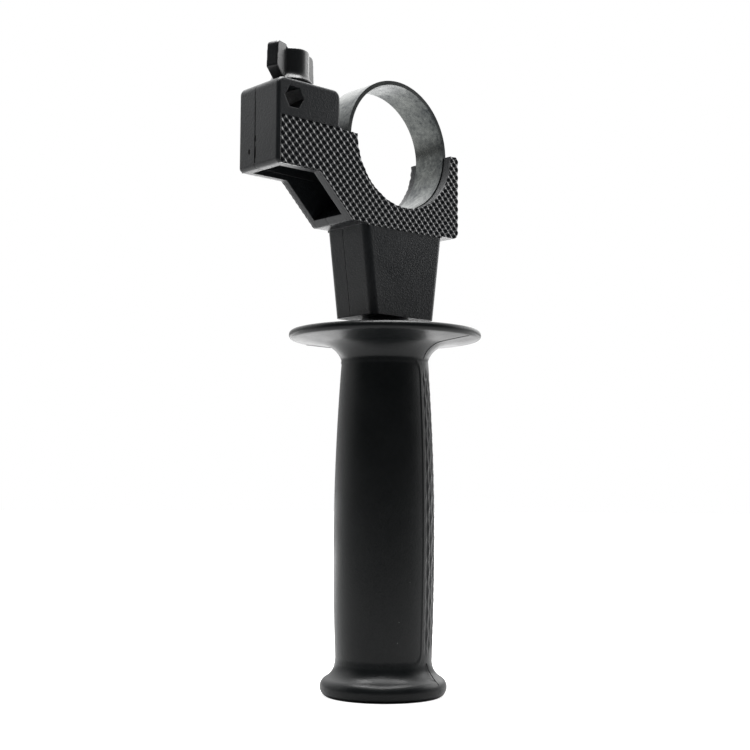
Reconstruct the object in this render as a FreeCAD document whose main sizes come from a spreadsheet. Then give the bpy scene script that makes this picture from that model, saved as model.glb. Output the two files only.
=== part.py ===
"""Side handle for a power tool, as a parametric document in millimetres.

The handle stands on the foot of its grip, with the grip's axis on Z. X runs
along the bracket towards its plain end, and Y is the axis of the clamp ring.
Turning the grip draws the clamp bolt and the steel band down and closes the
ring on the collar of the tool. The box at the other end of the bracket guides
a hexagonal depth rod, which a stud with a conical wedge locks when its wing
knob is turned.
"""
import FreeCAD, Part
import math
import os
import re

import Sketcher

os.makedirs("parts", exist_ok=True)
doc = FreeCAD.newDocument("SideHandle")
sheet = doc.addObject("Spreadsheet::Sheet", "Sizes")

# Driving dimensions, one cell each
SIZES = {
    # Grip: one moulding from foot to flange
    "grip_length": 122.8, "foot_radius": 21.4, "foot_contact_radius": 19.6,
    "foot_height": 6.1, "foot_bulge_height": 2.9, "foot_neck_height": 11.5,
    "grip_low_radius": 16.3, "grip_top_radius": 14.85, "grip_barrel_arc": 850,
    "foot_groove_inner": 6.0, "foot_groove_outer": 13.0, "foot_groove_depth": 1.0,
    "flange_radius": 33.0, "flange_thick": 2.9, "flange_rise": 7.2, "flange_edge": 1.2,
    "hub_radius": 9.2, "hub_height": 2.6, "grip_bore_depth": 64.8,
    # Clamp bolt, its nut and washer
    "bolt_radius": 4.0, "bolt_length": 72.0, "bolt_head_flats": 13.0, "bolt_head_height": 5.3,
    "bolt_chamfer": 0.8, "bolt_nut_height": 6.5, "bolt_nut_cover": 4.0, "thread_gap": 0.06,
    "washer_thick": 1.5, "washer_radius": 8.0, "running_gap": 0.1,
    # Steel band round the collar of the tool
    "band_bore": 21.6, "band_thick": 1.4, "band_width": 13.7, "band_shift": 0.45,
    "band_leg_spacing": 15.0, "band_bend": 2.2, "band_drop": 45.5, "band_lap": 5.9,
    "band_gap": 0.3, "band_foot_room": 3.8,
    # Bracket
    "plate_thick": 20.76, "plate_depth": 29.5, "plate_end": 25.5, "neck_height": 30.0,
    "saddle_radius": 21.9, "arm_slope_foot": 23.8, "arm_slope_rise": 14.0,
    "box_left": 55.5, "box_right": 29.6, "box_top": 12.6,
    "corner_round": 2.6, "small_round": 1.5, "edge_round": 1.1, "texture_depth": 0.8,
    "texture_border": 1.3, "texture_top": 0.3,
    "neck_thick": 20.2, "neck_top_width": 36.6, "neck_low_width": 28.5, "neck_round": 2.3,
    "front_wall": 3.4, "rear_wall": 3.0, "side_wall": 3.6, "arm_roof": 2.0, "saddle_wall": 3.0,
    "neck_wall": 1.9, "chamber_top": 26.0, "arm_rim": 2.1,
    "joint_place": 1.6, "joint_gap": 0.15, "bore_gap": 0.3,
    # Housing screws
    "screw_radius": 1.75, "screw_length": 13.0, "screw_head_radius": 3.2,
    "screw_head_height": 2.4, "screw_sink": 1.2, "screw_gap": 0.3,
    "box_screw_inset": 4.4, "box_screw_drop": 7.2, "end_screw_inset": 5.6,
    "end_screw_rise": 5.4, "neck_screw_inset": 12.3, "neck_screw_rise": 21.0,
    # Depth rod clamp
    "rod_flats": 6.8, "rod_offset": 6.4, "rod_level": 6.6, "stud_radius": 3.0,
    "stud_length": 16.0, "wedge_radius": 5.0, "wedge_foot_side": 8.4, "wedge_foot_height": 2.5,
    "wedge_back_off": 0.8, "wedge_travel": 1.0, "wedge_gap": 0.35,
    "knob_radius": 6.1, "knob_height": 11.1, "knob_reach": 11.4, "wing_thick": 4.2,
    "wing_low": 3.6, "wing_chamfer": 3.6, "wing_rise": 1.2, "wing_draft": 0.5,
    "knob_skirt_radius": 7.4, "knob_skirt_rim": 0.7, "knob_skirt_height": 3.2,
    "knob_angle": 19.0, "knob_washer_thick": 1.2,
    "knob_washer_radius": 6.0, "insert_radius": 4.2, "insert_height": 7.0,
}
for row, (alias, number) in enumerate(SIZES.items(), start=1):
    sheet.set(f"A{row}", alias.replace("_", " "))
    sheet.set(f"B{row}", str(number))
    sheet.setAlias(f"B{row}", alias)
doc.recompute()

# Levels and places that follow from the driving dimensions
HUB_TOP = "(grip_length + hub_height)"
NUT_TOP = "(grip_length - bolt_nut_cover)"
GRIP_BORE = "(grip_length - grip_bore_depth)"
NECK_FOOT = f"({HUB_TOP} + washer_thick + running_gap)"
PLATE_FOOT = f"({NECK_FOOT} + neck_height)"
RING = f"({PLATE_FOOT} + plate_depth)"
BOX_TOP = f"({RING} + box_top)"
SLOPE_TOP = f"({PLATE_FOOT} + arm_slope_rise)"
SLOPE_HEAD = "(arm_slope_foot + arm_slope_rise)"
GROOVE = "(band_bore + band_thick + band_gap)"
BAND_FOOT = f"({RING} - band_drop)"
LEG = "(band_leg_spacing / 2)"
CHAMBER = f"({LEG} + band_thick / 2 + band_gap)"
HALF = "(plate_thick / 2)"
KNOB_X = "(-(box_left + box_right) / 2)"
ROD_X = f"({KNOB_X} - rod_offset)"
ROD_Z = f"({RING} + rod_level)"
ROD_CORNER = "(rod_flats / 2 / cos(30))"
# The wedge touches the rod's lower flank where its radius is this large
WEDGE_MEETS = f"(rod_offset - {ROD_CORNER})"
STUD_NECK = f"({ROD_Z} - (stud_radius - {WEDGE_MEETS}) * tan(60) - wedge_back_off)"
WEDGE_RIM = f"({STUD_NECK} - (wedge_radius - stud_radius) * tan(60))"
KNOB_FOOT = f"({BOX_TOP} + knob_washer_thick + running_gap)"
SCREW_PLACES = {
    "housing_screw_box": ("(-box_right - box_screw_inset)", f"({BOX_TOP} - box_screw_drop)"),
    "housing_screw_end": ("(plate_end - end_screw_inset)", f"({PLATE_FOOT} + end_screw_rise)"),
    "housing_screw_left": ("(-neck_screw_inset)", f"({NECK_FOOT} + neck_screw_rise)"),
    "housing_screw_right": ("neck_screw_inset", f"({NECK_FOOT} + neck_screw_rise)"),
}
LONG = "300"


def bound(expression):
    """The expression with each size written as a reference to its cell."""
    return re.sub(r"\b([a-z]+_[a-z_]+)\b", r"Sizes.\1", expression)


def value(expression):
    """The number that an expression of sizes gives."""
    return float(sheet.evalExpression(expression))


def bind(thing, prop, expression):
    """Tie a property or constraint of a document object to the sizes."""
    thing.setExpression(prop, bound(expression))


def new_body(label):
    """A body, named after the piece it holds."""
    body = doc.addObject("PartDesign::Body", label)
    body.Label = label
    return body


def new_sketch(body, plane, offset="0"):
    """A sketch on one of the body's own origin planes, moved along its normal."""
    sketch = body.newObject("Sketcher::SketchObject", f"{body.Name}_{plane}_sketch")
    origin = [item for item in body.Origin.OriginFeatures if item.Role == f"{plane}_Plane"]
    sketch.AttachmentSupport = [(origin[0], "")]
    sketch.MapMode = "FlatFace"
    bind(sketch, ".AttachmentOffset.Base.z", offset)
    return sketch


def constrain(sketch, kind, geometry, expression):
    """Add one measured constraint and tie it to the sizes."""
    index = sketch.addConstraint(Sketcher.Constraint(kind, *geometry, value(expression)))
    bind(sketch, f"Constraints[{index}]", expression)


def side(start, end, radius):
    """Line or arc from start to end, with the numbers of its start and end points.

    A positive radius has its centre on the left of the way from start to end.
    """
    if radius is None:
        return Part.LineSegment(start, end), 1, 2
    chord = end - start
    left = FreeCAD.Vector(-chord.y, chord.x, 0).normalize()
    rise = math.sqrt(max(radius ** 2 - (chord.Length / 2) ** 2, 0.0))
    centre = (start + end) / 2 + left * math.copysign(rise, radius)
    circle = Part.Circle(centre, FreeCAD.Vector(0, 0, 1), abs(radius))
    first, last = (start, end) if radius > 0 else (end, start)
    begin = math.atan2(first.y - centre.y, first.x - centre.x)
    finish = math.atan2(last.y - centre.y, last.x - centre.x)
    if finish < begin:
        finish += 2 * math.pi
    arc = Part.ArcOfCircle(circle, begin, finish)
    return (arc, 1, 2) if radius > 0 else (arc, 2, 1)


def outline(sketch, corners):
    """Closed outline through corners (x, y) or (x, y, radius of the side that leaves)."""
    points = [FreeCAD.Vector(value(corner[0]), value(corner[1]), 0) for corner in corners]
    ends = []
    for index, corner in enumerate(corners):
        radius = value(corner[2]) if len(corner) == 3 else None
        shape, start, end = side(points[index], points[(index + 1) % len(points)], radius)
        ends.append((sketch.addGeometry(shape, False), start, end))
    for index, (line, start, end) in enumerate(ends):
        following, next_start, _ = ends[(index + 1) % len(ends)]
        sketch.addConstraint(Sketcher.Constraint("Coincident", line, end, following, next_start))
    for (line, start, end), corner in zip(ends, corners):
        constrain(sketch, "DistanceX", (-1, 1, line, start), corner[0])
        constrain(sketch, "DistanceY", (-1, 1, line, start), corner[1])
        if len(corner) == 3:
            constrain(sketch, "Radius", (line,), f"abs({corner[2]})")


def circle(sketch, x, y, radius):
    """Full circle at x, y."""
    centre = FreeCAD.Vector(value(x), value(y), 0)
    index = sketch.addGeometry(
        Part.Circle(centre, FreeCAD.Vector(0, 0, 1), value(radius)), False)
    constrain(sketch, "Radius", (index,), radius)
    constrain(sketch, "DistanceX", (-1, 1, index, 3), x)
    constrain(sketch, "DistanceY", (-1, 1, index, 3), y)


def hexagon(sketch, x, y, flats, first_angle=0):
    """Regular hexagon with its first corner at an angle from the sketch's x axis."""
    corner = f"({flats} / 2 / cos(30))"
    outline(sketch, [(f"{x} + {corner} * cos({first_angle + 60 * step})",
                      f"{y} + {corner} * sin({first_angle + 60 * step})") for step in range(6)])


def rounded_box(sketch, half_x, half_y, radius):
    """Rectangle about the origin with rounded corners."""
    outline(sketch, [
        (f"-{half_x} + {radius}", f"-{half_y}"), (f"{half_x} - {radius}", f"-{half_y}", radius),
        (half_x, f"-{half_y} + {radius}"), (half_x, f"{half_y} - {radius}", radius),
        (f"{half_x} - {radius}", half_y), (f"-{half_x} + {radius}", half_y, radius),
        (f"-{half_x}", f"{half_y} - {radius}"), (f"-{half_x}", f"-{half_y} + {radius}", radius)])


def extrude(body, kind, sketch, length, both_ways=False, backwards=False):
    """Pad or pocket of a sketch; both_ways centres it on the sketch's plane."""
    feature = body.newObject(f"PartDesign::{kind}", f"{body.Name}_{kind}")
    feature.Profile = sketch
    if both_ways:
        feature.SideType = "Symmetric"
    feature.Reversed = backwards
    bind(feature, "Length", length)
    doc.recompute()
    return feature


def revolve(body, sketch, kind="Revolution"):
    """Full turn of a sketch about its own vertical axis, added or cut away."""
    feature = body.newObject(f"PartDesign::{kind}", f"{body.Name}_{kind}")
    feature.Profile = sketch
    feature.ReferenceAxis = (sketch, ["V_Axis"])
    feature.Angle = 360
    doc.recompute()
    return feature


def fillet(body, base, radius, chosen, kind="Fillet"):
    """Round or chamfer the edges of the base feature that chosen accepts."""
    names = [f"Edge{index}" for index, edge in enumerate(base.Shape.Edges, start=1)
             if chosen(edge)]
    feature = body.newObject(f"PartDesign::{kind}", f"{body.Name}_{kind}")
    feature.Base = (base, names)
    bind(feature, "Radius" if kind == "Fillet" else "Size", radius)
    doc.recompute()
    return feature


def runs_at(x, z):
    """Test for an edge that runs along Y at a place of the XZ plane."""
    place = (value(x), value(z))

    def test(edge):
        return all(math.dist((vertex.X, vertex.Z), place) < 0.01 for vertex in edge.Vertexes)
    return test


def place(thing, x="0", y="0", z="0"):
    """Move a finished piece to its seat."""
    for axis, expression in zip("xyz", (x, y, z)):
        bind(thing, f".Placement.Base.{axis}", expression)


def add_grip():
    """Barrel, flared foot and guard flange in one profile, with the nut moulded in."""
    body = new_body("grip")
    profile = new_sketch(body, "XZ")
    flange_low = "(grip_length - flange_thick)"
    barrel_top = f"({flange_low} - flange_rise)"
    outline(profile, [
        ("0", "0"), ("foot_groove_inner", "0"),
        ("foot_groove_inner + foot_groove_depth", "foot_groove_depth"),
        ("foot_groove_outer - foot_groove_depth", "foot_groove_depth"),
        ("foot_groove_outer", "0"),
        ("foot_contact_radius", "0", "foot_bulge_height + 0.4"),
        ("foot_radius", "foot_bulge_height", "foot_bulge_height + 0.6"),
        ("(foot_radius + grip_low_radius) / 2 + 0.5", "foot_height", "-(foot_height + 0.4)"),
        ("grip_low_radius", "foot_neck_height", "grip_barrel_arc"),
        ("grip_top_radius", barrel_top, "-(flange_rise + 1.6)"),
        ("grip_top_radius + flange_rise * 0.9", f"{flange_low} - 1.5"),
        ("flange_radius - flange_edge", flange_low, "flange_edge + 0.1"),
        ("flange_radius", f"{flange_low} + flange_edge"),
        ("flange_radius", "grip_length - flange_edge", "flange_edge + 0.1"),
        ("flange_radius - flange_edge", "grip_length"), ("hub_radius", "grip_length"),
        ("hub_radius", HUB_TOP), ("bolt_radius + bore_gap", HUB_TOP),
        ("bolt_radius + bore_gap", GRIP_BORE), ("0", GRIP_BORE)])
    revolve(body, profile)
    # The nut's seat is closed above and below, because the nut is moulded in
    nut_seat = new_sketch(body, "XY", NUT_TOP)
    hexagon(nut_seat, "0", "0", "bolt_head_flats")
    extrude(body, "Pocket", nut_seat, "bolt_nut_height")
    return body


def add_nut(label, flats, height, bore, top):
    """Hexagonal nut whose upper face lies at top."""
    body = new_body(label)
    face = new_sketch(body, "XY", f"-({height})")
    hexagon(face, "0", "0", flats)
    circle(face, "0", "0", bore)
    extrude(body, "Pad", face, height)
    place(body, z=top)
    return body


def add_washer(label, outer, inner, thick, x, z):
    """Flat ring washer that lies on z."""
    body = new_body(label)
    face = new_sketch(body, "XY")
    circle(face, "0", "0", outer)
    circle(face, "0", "0", inner)
    extrude(body, "Pad", face, thick)
    place(body, x=x, z=z)
    return body


def add_bolt():
    """Hexagon bolt, head up, that the two legs of the band keep from turning."""
    body = new_body("clamp_bolt")
    head = new_sketch(body, "XY")
    hexagon(head, "0", "0", "bolt_head_flats", first_angle=30)
    extrude(body, "Pad", head, "bolt_head_height")
    shank = new_sketch(body, "XZ")
    outline(shank, [("0", "0"), ("0", "-bolt_length"),
                    ("bolt_radius - bolt_chamfer", "-bolt_length"),
                    ("bolt_radius", "-bolt_length + bolt_chamfer"), ("bolt_radius", "0")])
    revolve(body, shank)
    place(body, z=f"{BAND_FOOT} + 2 * band_thick")
    return body


def add_band():
    """Steel strip bent round the collar, its ends lapped under the bolt's head."""
    body = new_body("clamp_band")
    section = new_sketch(body, "XZ", "-band_shift")
    bend_x = f"({LEG} + band_bend)"
    middle = "(band_bore + band_thick / 2)"
    bend_drop = f"sqrt(({middle} + band_bend) ^ 2 - {bend_x} ^ 2)"
    outer, inner = f"({middle} + band_thick / 2)", f"({middle} - band_thick / 2)"

    def tangent(radius, sign):
        scale = f"{radius} / ({middle} + band_bend)"
        return f"{sign} * {bend_x} * {scale}", f"{RING} - {bend_drop} * {scale}"

    bend_z = f"{RING} - {bend_drop}"
    far, near = f"({LEG} + band_thick / 2)", f"({LEG} - band_thick / 2)"
    tight, wide = "(band_bend - band_thick / 2)", "(band_bend + band_thick / 2)"
    outline(section, [
        (f"-{far}", BAND_FOOT), (f"-{far}", bend_z, tight),
        (*tangent(outer, -1), f"-{outer}"), ("0", f"{RING} + {outer}", f"-{outer}"),
        (*tangent(outer, 1), tight), (far, bend_z), (far, f"{BAND_FOOT} + band_thick"),
        ("band_lap", f"{BAND_FOOT} + band_thick"), ("band_lap", BAND_FOOT)])
    outline(section, [
        (f"-{near}", f"{BAND_FOOT} + band_thick"), (f"-{near}", bend_z, wide),
        (*tangent(inner, -1), f"-{inner}"), ("0", f"{RING} + {inner}", f"-{inner}"),
        (*tangent(inner, 1), wide), (near, bend_z), (near, f"{BAND_FOOT} + 2 * band_thick"),
        ("-band_lap", f"{BAND_FOOT} + 2 * band_thick"), ("-band_lap", f"{BAND_FOOT} + band_thick")])
    extrude(body, "Pad", section, "band_width", both_ways=True)
    hole = new_sketch(body, "XY", f"{BAND_FOOT} + 3 * band_thick")
    circle(hole, "0", "0", "bolt_radius + bore_gap")
    extrude(body, "Pocket", hole, "5 * band_thick")
    return body


def plate_outline():
    """Corners of the bracket seen from the front, with the ring not yet cut."""
    return [("-box_left", SLOPE_TOP), (f"-{SLOPE_HEAD}", SLOPE_TOP),
            ("-arm_slope_foot", PLATE_FOOT), ("plate_end", PLATE_FOOT), ("plate_end", RING),
            ("-box_right", RING), ("-box_right", BOX_TOP), ("-box_left", BOX_TOP)]


def add_shell(label, keep_front):
    """One half of the bracket: the whole moulding, then the other half cut away."""
    body = new_body(label)
    face = new_sketch(body, "XZ")
    outline(face, plate_outline())
    solid = extrude(body, "Pad", face, "plate_thick", both_ways=True)
    # Corners of the outline, then the rims of the front and rear faces
    rounds = [("corner_round", plate_outline()[6:8] + plate_outline()[3:4]),
              ("small_round", plate_outline()[:3] + plate_outline()[4:6])]
    for radius, corners in rounds:
        tests = [runs_at(x, z) for x, z in corners]
        solid = fillet(body, solid, radius, lambda edge: any(test(edge) for test in tests))
    rim = value(HALF)
    solid = fillet(body, solid, "edge_round", lambda edge: all(
        abs(abs(vertex.Y) - rim) < 0.01 for vertex in edge.Vertexes))
    add_neck(body)
    cut_texture_fields(body)
    cut_ring_seat(body)
    cut_arm_pocket(body)
    cut_rod_clamp(body)
    cut_screw_holes(body, keep_front)
    cut_joint(body, keep_front)
    return body


def add_neck(body):
    """Tapered neck with rounded corners, lofted from its foot up into the plate."""
    overlap = "(small_round + 1)"
    spread = f"((neck_top_width - neck_low_width) / 2 * (1 + {overlap} / neck_height))"
    foot = new_sketch(body, "XY", NECK_FOOT)
    rounded_box(foot, "neck_low_width / 2", "neck_thick / 2", "neck_round")
    head = new_sketch(body, "XY", f"{PLATE_FOOT} + {overlap}")
    rounded_box(head, f"(neck_low_width / 2 + {spread})", "neck_thick / 2", "neck_round")
    neck = body.newObject("PartDesign::AdditiveLoft", f"{body.Name}_neck")
    neck.Profile = foot
    neck.Sections = [head]
    neck.Ruled = True
    doc.recompute()


def cut_texture_fields(body):
    """Sink the ground of the pyramid texture below both faces of the arm."""
    for sign in (1, -1):
        field = new_sketch(body, "XZ", f"{sign} * ({HALF} - texture_depth)")
        outline(field, [("-box_left + texture_border", f"{PLATE_FOOT} - 0.5"),
                        ("plate_end + 1", f"{PLATE_FOOT} - 0.5"),
                        ("plate_end + 1", f"{RING} + texture_top"),
                        ("-box_left + texture_border", f"{RING} + texture_top")])
        extrude(body, "Pocket", field, "texture_depth + 1", backwards=sign > 0)


def cut_ring_seat(body):
    """Saddle with the band's groove, the bolt's chamber and its bore."""
    saddle = new_sketch(body, "XZ")
    circle(saddle, "0", RING, "saddle_radius")
    extrude(body, "Pocket", saddle, LONG, both_ways=True)
    slot_width = "band_width + 2 * band_gap"
    groove = new_sketch(body, "XZ", "-band_shift")
    circle(groove, "0", RING, GROOVE)
    extrude(body, "Pocket", groove, slot_width, both_ways=True)
    # The slot for the legs flares at the top, where the band bends outwards
    flare = "(band_bend + 0.1)"
    mouth = f"({RING} - {GROOVE} - 0.5)"
    slot = new_sketch(body, "XZ", "-band_shift")
    outline(slot, [(f"-{CHAMBER}", f"{RING} - chamber_top"), (CHAMBER, f"{RING} - chamber_top"),
                   (CHAMBER, mouth), (f"{CHAMBER} + {flare}", f"{mouth} + {flare}"),
                   (f"{CHAMBER} + {flare}", f"{mouth} + 2 * {flare}"),
                   (f"-{CHAMBER} - {flare}", f"{mouth} + 2 * {flare}"),
                   (f"-{CHAMBER} - {flare}", f"{mouth} + {flare}"), (f"-{CHAMBER}", mouth)])
    extrude(body, "Pocket", slot, slot_width, both_ways=True)
    floor = f"({BAND_FOOT} - band_foot_room)"
    chamber = new_sketch(body, "XZ")
    outline(chamber, [(f"-{CHAMBER}", floor), (CHAMBER, floor),
                      (CHAMBER, f"{RING} - chamber_top"), (f"-{CHAMBER}", f"{RING} - chamber_top")])
    extrude(body, "Pocket", chamber, "neck_thick - 2 * neck_wall", both_ways=True)
    bore = new_sketch(body, "XY", f"{floor} + 1")
    circle(bore, "0", "0", "bolt_radius + bore_gap")
    extrude(body, "Pocket", bore, f"{floor} - {NECK_FOOT} + 2")


def cut_arm_pocket(body):
    """Open pocket under the box and along the arm, behind the saddle's own wall."""
    hollow = new_sketch(body, "XZ", "(front_wall - rear_wall) / -2")
    arc = f"({GROOVE} + saddle_wall)"
    roof = f"{RING} - arm_roof"
    # The end wall stands square to the sloping rim and meets the saddle's wall
    rim_x, rim_z = "(-arm_slope_foot - arm_rim)", f"({PLATE_FOOT} + arm_rim)"
    reach = f"(({arc} - {arc} * cos(45)) / 2 + 3)"
    meet_x = f"({rim_x} + {reach} + 1)"
    outline(hollow, [
        ("-box_left + side_wall", f"{SLOPE_TOP} - 8"), ("-box_left + side_wall", roof),
        (f"-sqrt({arc} ^ 2 - arm_roof ^ 2)", roof, arc),
        (meet_x, f"{RING} - sqrt({arc} ^ 2 - {meet_x} ^ 2)"), (rim_x, rim_z),
        (f"{rim_x} - 8", f"{rim_z} - 8")])
    extrude(body, "Pocket", hollow, "plate_thick - front_wall - rear_wall", both_ways=True)


def cut_rod_clamp(body):
    """Hexagonal rod guide, with the stud's bore and the chamber of its wedge."""
    guide = new_sketch(body, "XZ")
    hexagon(guide, ROD_X, ROD_Z, "rod_flats")
    extrude(body, "Pocket", guide, LONG, both_ways=True)
    stud = new_sketch(body, "XY", f"{BOX_TOP} + 1")
    circle(stud, KNOB_X, "0", "stud_radius + bore_gap")
    extrude(body, "Pocket", stud, "box_top + arm_roof + 2")
    # Steps of the wedge's cone, each wide enough for the wedge over its travel
    step_height = "(wedge_radius - stud_radius) * tan(60) / 4"
    for step in range(4):
        top = f"({WEDGE_RIM} + {step + 1} * {step_height} + wedge_travel + wedge_gap)"
        ring = new_sketch(body, "XY", top)
        circle(ring, KNOB_X, "0",
               f"wedge_radius - (wedge_radius - stud_radius) * {step} / 4 + wedge_gap")
        extrude(body, "Pocket", ring, f"{top} - {WEDGE_RIM} + wedge_foot_height * 0.7")
    foot_top = f"({WEDGE_RIM} + wedge_travel + wedge_gap)"
    foot = new_sketch(body, "XY", foot_top)
    half = "(wedge_foot_side / 2 + wedge_gap)"
    outline(foot, [(f"{KNOB_X} - {half}", f"-{half}"), (f"{KNOB_X} + {half}", f"-{half}"),
                   (f"{KNOB_X} + {half}", half), (f"{KNOB_X} - {half}", half)])
    extrude(body, "Pocket", foot, f"{foot_top} - {RING} + arm_roof + 1")


def cut_screw_holes(body, keep_front):
    """Pilot holes in the front half, clearance holes and head seats in the rear half."""
    radius = "screw_radius" if keep_front else "screw_radius + screw_gap"
    seat = f"({HALF} - screw_sink - screw_head_height)"
    for x, z in SCREW_PLACES.values():
        hole = new_sketch(body, "XZ", f"-{seat} - 0.5")
        circle(hole, x, z, radius)
        extrude(body, "Pocket", hole, "screw_length + 1.5", backwards=True)
        head = new_sketch(body, "XZ", f"-{seat}")
        circle(head, x, z, "screw_head_radius + screw_gap")
        extrude(body, "Pocket", head, "screw_head_height + screw_sink + 5")


def cut_joint(body, keep_front):
    """Remove the half that the other shell fills, on one side of the flat joint."""
    cut = new_sketch(body, "YZ")
    far = "60" if keep_front else "-60"
    edge = "joint_place" if keep_front else "joint_place + joint_gap"
    low, high = f"{NECK_FOOT} - 20", f"{BOX_TOP} + 20"
    outline(cut, [(edge, low), (far, low), (far, high), (edge, high)])
    extrude(body, "Pocket", cut, LONG, both_ways=True)


def add_screw(label, x, z):
    """Pan-head screw, driven from the rear."""
    body = new_body(label)
    profile = new_sketch(body, "XY")
    outline(profile, [("0", "0.8 - screw_length"), ("screw_radius - 0.8", "0.8 - screw_length"),
                      ("screw_radius", "1.6 - screw_length"), ("screw_radius", "0"),
                      ("screw_head_radius", "0"), ("screw_head_radius", "screw_head_height * 0.6"),
                      ("screw_head_radius - 1", "screw_head_height"), ("0", "screw_head_height")])
    revolve(body, profile)
    place(body, x=x, y=f"{HALF} - screw_sink - screw_head_height", z=z)
    return body


def add_stud():
    """Threaded stud with a conical wedge, and a square foot that keeps it from turning."""
    body = new_body("clamp_stud")
    profile = new_sketch(body, "XZ")
    outline(profile, [
        ("0", f"{WEDGE_RIM} - wedge_foot_height + 0.5"),
        ("wedge_foot_side / 2", f"{WEDGE_RIM} - wedge_foot_height + 0.5"),
        ("wedge_radius", WEDGE_RIM), ("stud_radius", STUD_NECK),
        ("stud_radius", f"{STUD_NECK} + stud_length - 0.6"),
        ("stud_radius - 0.6", f"{STUD_NECK} + stud_length"), ("0", f"{STUD_NECK} + stud_length")])
    revolve(body, profile)
    foot = new_sketch(body, "XY", f"{WEDGE_RIM} - wedge_foot_height")
    half = "wedge_foot_side / 2"
    outline(foot, [(f"-{half}", f"-{half}"), (half, f"-{half}"), (half, half), (f"-{half}", half)])
    extrude(body, "Pad", foot, "wedge_foot_height")
    place(body, x=KNOB_X)
    return body


def add_knob():
    """Wing knob: a round body on a flared skirt, with two wings chamfered below."""
    body = new_body("wing_knob")
    profile = new_sketch(body, "XZ")
    outline(profile, [
        ("0", "knob_height - 1.2"), ("0", "0"), ("knob_skirt_radius", "0"),
        ("knob_skirt_radius", "knob_skirt_rim", "-knob_skirt_height"),
        ("knob_radius", "knob_skirt_height"), ("knob_radius", "knob_height - 0.3"),
        ("knob_radius - 0.3", "knob_height"), ("knob_radius - 1.2", "knob_height"),
        ("knob_radius - 1.6", "knob_height - 1.2")])
    revolve(body, profile)
    wings = new_sketch(body, "XZ")
    top = "knob_height + wing_rise"
    outline(wings, [
        ("-knob_reach + wing_chamfer", "wing_low - wing_chamfer * 0.8"),
        ("knob_reach - wing_chamfer", "wing_low - wing_chamfer * 0.8"),
        ("knob_reach", "wing_low"), ("knob_reach - wing_draft", f"{top} - 1.5", "1.6"),
        ("knob_reach - wing_draft - 1.5", top), ("knob_radius - 0.5", top),
        ("knob_radius - 1.5", "knob_height - 1.5"), ("-knob_radius + 1.5", "knob_height - 1.5"),
        ("-knob_radius + 0.5", top), ("-knob_reach + wing_draft + 1.5", top, "1.6"),
        ("-knob_reach + wing_draft", f"{top} - 1.5"), ("-knob_reach", "wing_low")])
    extrude(body, "Pad", wings, "wing_thick", both_ways=True)
    seat = new_sketch(body, "XY")
    circle(seat, "0", "0", "insert_radius")
    extrude(body, "Pocket", seat, "insert_height", backwards=True)
    way = new_sketch(body, "XY", "insert_height - 0.5")
    circle(way, "0", "0", "stud_radius + bore_gap")
    extrude(body, "Pocket", way, "knob_height - insert_height - 1.7", backwards=True)
    place(body, x=KNOB_X, z=KNOB_FOOT)
    body.Placement.Rotation = FreeCAD.Rotation(FreeCAD.Vector(0, 0, 1), value("knob_angle"))
    return body


pieces = [
    add_grip(),
    add_nut("grip_nut", "bolt_head_flats", "bolt_nut_height", "bolt_radius + thread_gap", NUT_TOP),
    add_washer("thrust_washer", "washer_radius", "bolt_radius + bore_gap", "washer_thick",
               "0", HUB_TOP),
    add_bolt(),
    add_band(),
    add_shell("front_housing", keep_front=True),
    add_shell("rear_housing", keep_front=False),
    add_stud(),
    add_washer("knob_washer", "knob_washer_radius", "stud_radius + bore_gap",
               "knob_washer_thick", KNOB_X, f"{BOX_TOP} + running_gap"),
    add_washer("knob_insert", "insert_radius", "stud_radius + thread_gap", "insert_height",
               KNOB_X, KNOB_FOOT),
    add_knob(),
]
for screw, (across, level) in SCREW_PLACES.items():
    pieces.append(add_screw(screw, across, level))

doc.recompute()
for item in doc.Objects:
    if "Invalid" in item.State or "Error" in item.State:
        raise RuntimeError(f"{item.Label} could not be built: {item.State}")
for piece in pieces:
    shape = piece.Shape
    if shape.isNull() or not shape.isValid() or len(shape.Solids) != 1:
        raise RuntimeError(f"{piece.Label} is not one sound solid ({len(shape.Solids)})")
    shape.exportStep(f"parts/{piece.Label}.step")
    print(piece.Label, round(shape.Volume), [round(v, 1) for v in (
        shape.BoundBox.XMin, shape.BoundBox.XMax, shape.BoundBox.YMin, shape.BoundBox.YMax,
        shape.BoundBox.ZMin, shape.BoundBox.ZMax)])
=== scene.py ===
"""Looks of a power tool side handle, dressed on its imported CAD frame."""

import logging
import math
from dataclasses import dataclass
from enum import Enum

import bmesh
import bpy
from mathutils import Matrix, Vector
from mathutils.bvhtree import BVHTree


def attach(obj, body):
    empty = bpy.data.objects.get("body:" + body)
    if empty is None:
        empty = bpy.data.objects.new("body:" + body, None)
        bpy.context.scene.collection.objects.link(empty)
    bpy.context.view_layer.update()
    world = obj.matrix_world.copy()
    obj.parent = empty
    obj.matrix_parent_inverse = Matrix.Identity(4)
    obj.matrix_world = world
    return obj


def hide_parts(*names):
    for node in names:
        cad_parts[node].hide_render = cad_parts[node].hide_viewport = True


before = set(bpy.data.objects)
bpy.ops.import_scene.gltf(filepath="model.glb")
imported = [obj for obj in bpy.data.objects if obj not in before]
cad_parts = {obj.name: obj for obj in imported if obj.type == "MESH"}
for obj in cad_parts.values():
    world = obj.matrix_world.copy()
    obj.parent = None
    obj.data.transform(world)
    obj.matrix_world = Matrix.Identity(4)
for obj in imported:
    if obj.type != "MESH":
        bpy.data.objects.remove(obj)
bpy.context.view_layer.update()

log = logging.getLogger("side_handle")
MM = 0.001

Colour = tuple[float, float, float]
Span = tuple[float, float]

# Sockets of a Mix node: its two colours and their blend, and its two values
COLOUR_LOW, COLOUR_HIGH, COLOUR_OUT = 6, 7, 2
VALUE_LOW, VALUE_HIGH = 2, 3


class Side(Enum):
    """The two broad faces of the bracket."""

    FRONT = -1
    REAR = 1


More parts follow.
